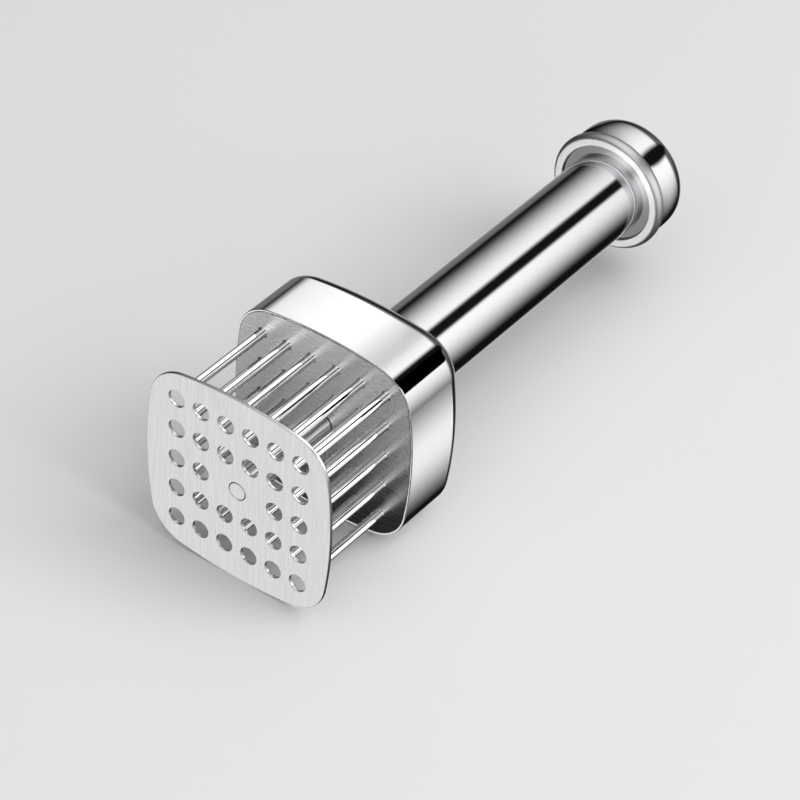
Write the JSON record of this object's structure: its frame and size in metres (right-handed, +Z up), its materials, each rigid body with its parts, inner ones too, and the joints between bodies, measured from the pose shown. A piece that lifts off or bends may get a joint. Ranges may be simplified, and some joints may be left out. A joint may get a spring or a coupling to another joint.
{
  "type": "meat tenderizer",
  "caption": "Handled meat tenderizer: steel needles in rows behind a perforated press plate that slides back on a spring, with a tube handle and a domed end cap, lying on its side.",
  "frame": {"origin": "centre of the underside of the box round the tool as it lies on its side", "axes": "+Z up, -Y out of the press face, +Y along the handle to the end cap"},
  "size_m": [0.054, 0.1658, 0.054],
  "materials": {
    "brushed_steel": "fine straight brushing",
    "mirror_steel": "mirror polish",
    "polished_steel": "polished",
    "needle_steel": "polished rod",
    "satin_steel": "satin",
    "inner_steel": "machined, out of sight",
    "spring_steel": "drawn wire",
    "bumper_rubber": "matt",
    "bush_nylon": "turned"
  },
  "bodies": {
    "root": {"return_spring": "spring_steel", "bumper_ring": "bumper_rubber", "guide_bush": "bush_nylon", "needle_plate": "brushed_steel", "backing_plate": "inner_steel", "head_shell": "mirror_steel", "tube_flange": "inner_steel", "spring_sleeve": "inner_steel", "spring_seat": "inner_steel", "handle_tube": "polished_steel", "tube_plug": "inner_steel", "cap_seat": "satin_steel", "cap_ring": "satin_steel", "end_cap": "mirror_steel", "cap_stud": "inner_steel", "needle_1": "needle_steel", "needle_2": "needle_steel", "needle_3": "needle_steel", "needle_4": "needle_steel", "needle_5": "needle_steel", "needle_6": "needle_steel", "needle_7": "needle_steel", "needle_8": "needle_steel", "needle_9": "needle_steel", "needle_10": "needle_steel", "needle_11": "needle_steel", "needle_12": "needle_steel", "needle_13": "needle_steel", "needle_14": "needle_steel", "needle_15": "needle_steel", "needle_16": "needle_steel", "needle_17": "needle_steel", "needle_18": "needle_steel", "needle_19": "needle_steel", "needle_20": "needle_steel", "needle_21": "needle_steel", "needle_22": "needle_steel", "needle_23": "needle_steel", "needle_24": "needle_steel", "needle_25": "needle_steel", "needle_26": "needle_steel", "needle_27": "needle_steel", "needle_28": "needle_steel"},
    "plunger": {"press_plate": "brushed_steel", "plunger_rod": "polished_steel", "plunger_collar": "inner_steel", "collar_clip": "spring_steel"}
  },
  "joints": [
    {"name": "press_slide", "type": "slide", "parent": "root", "child": "plunger", "axis": [0, 1, 0], "range_m": [0, 0.028], "stiffness_N_per_m": 400, "springref_m": -0.015, "deforming": ["return_spring"]}
  ]
}
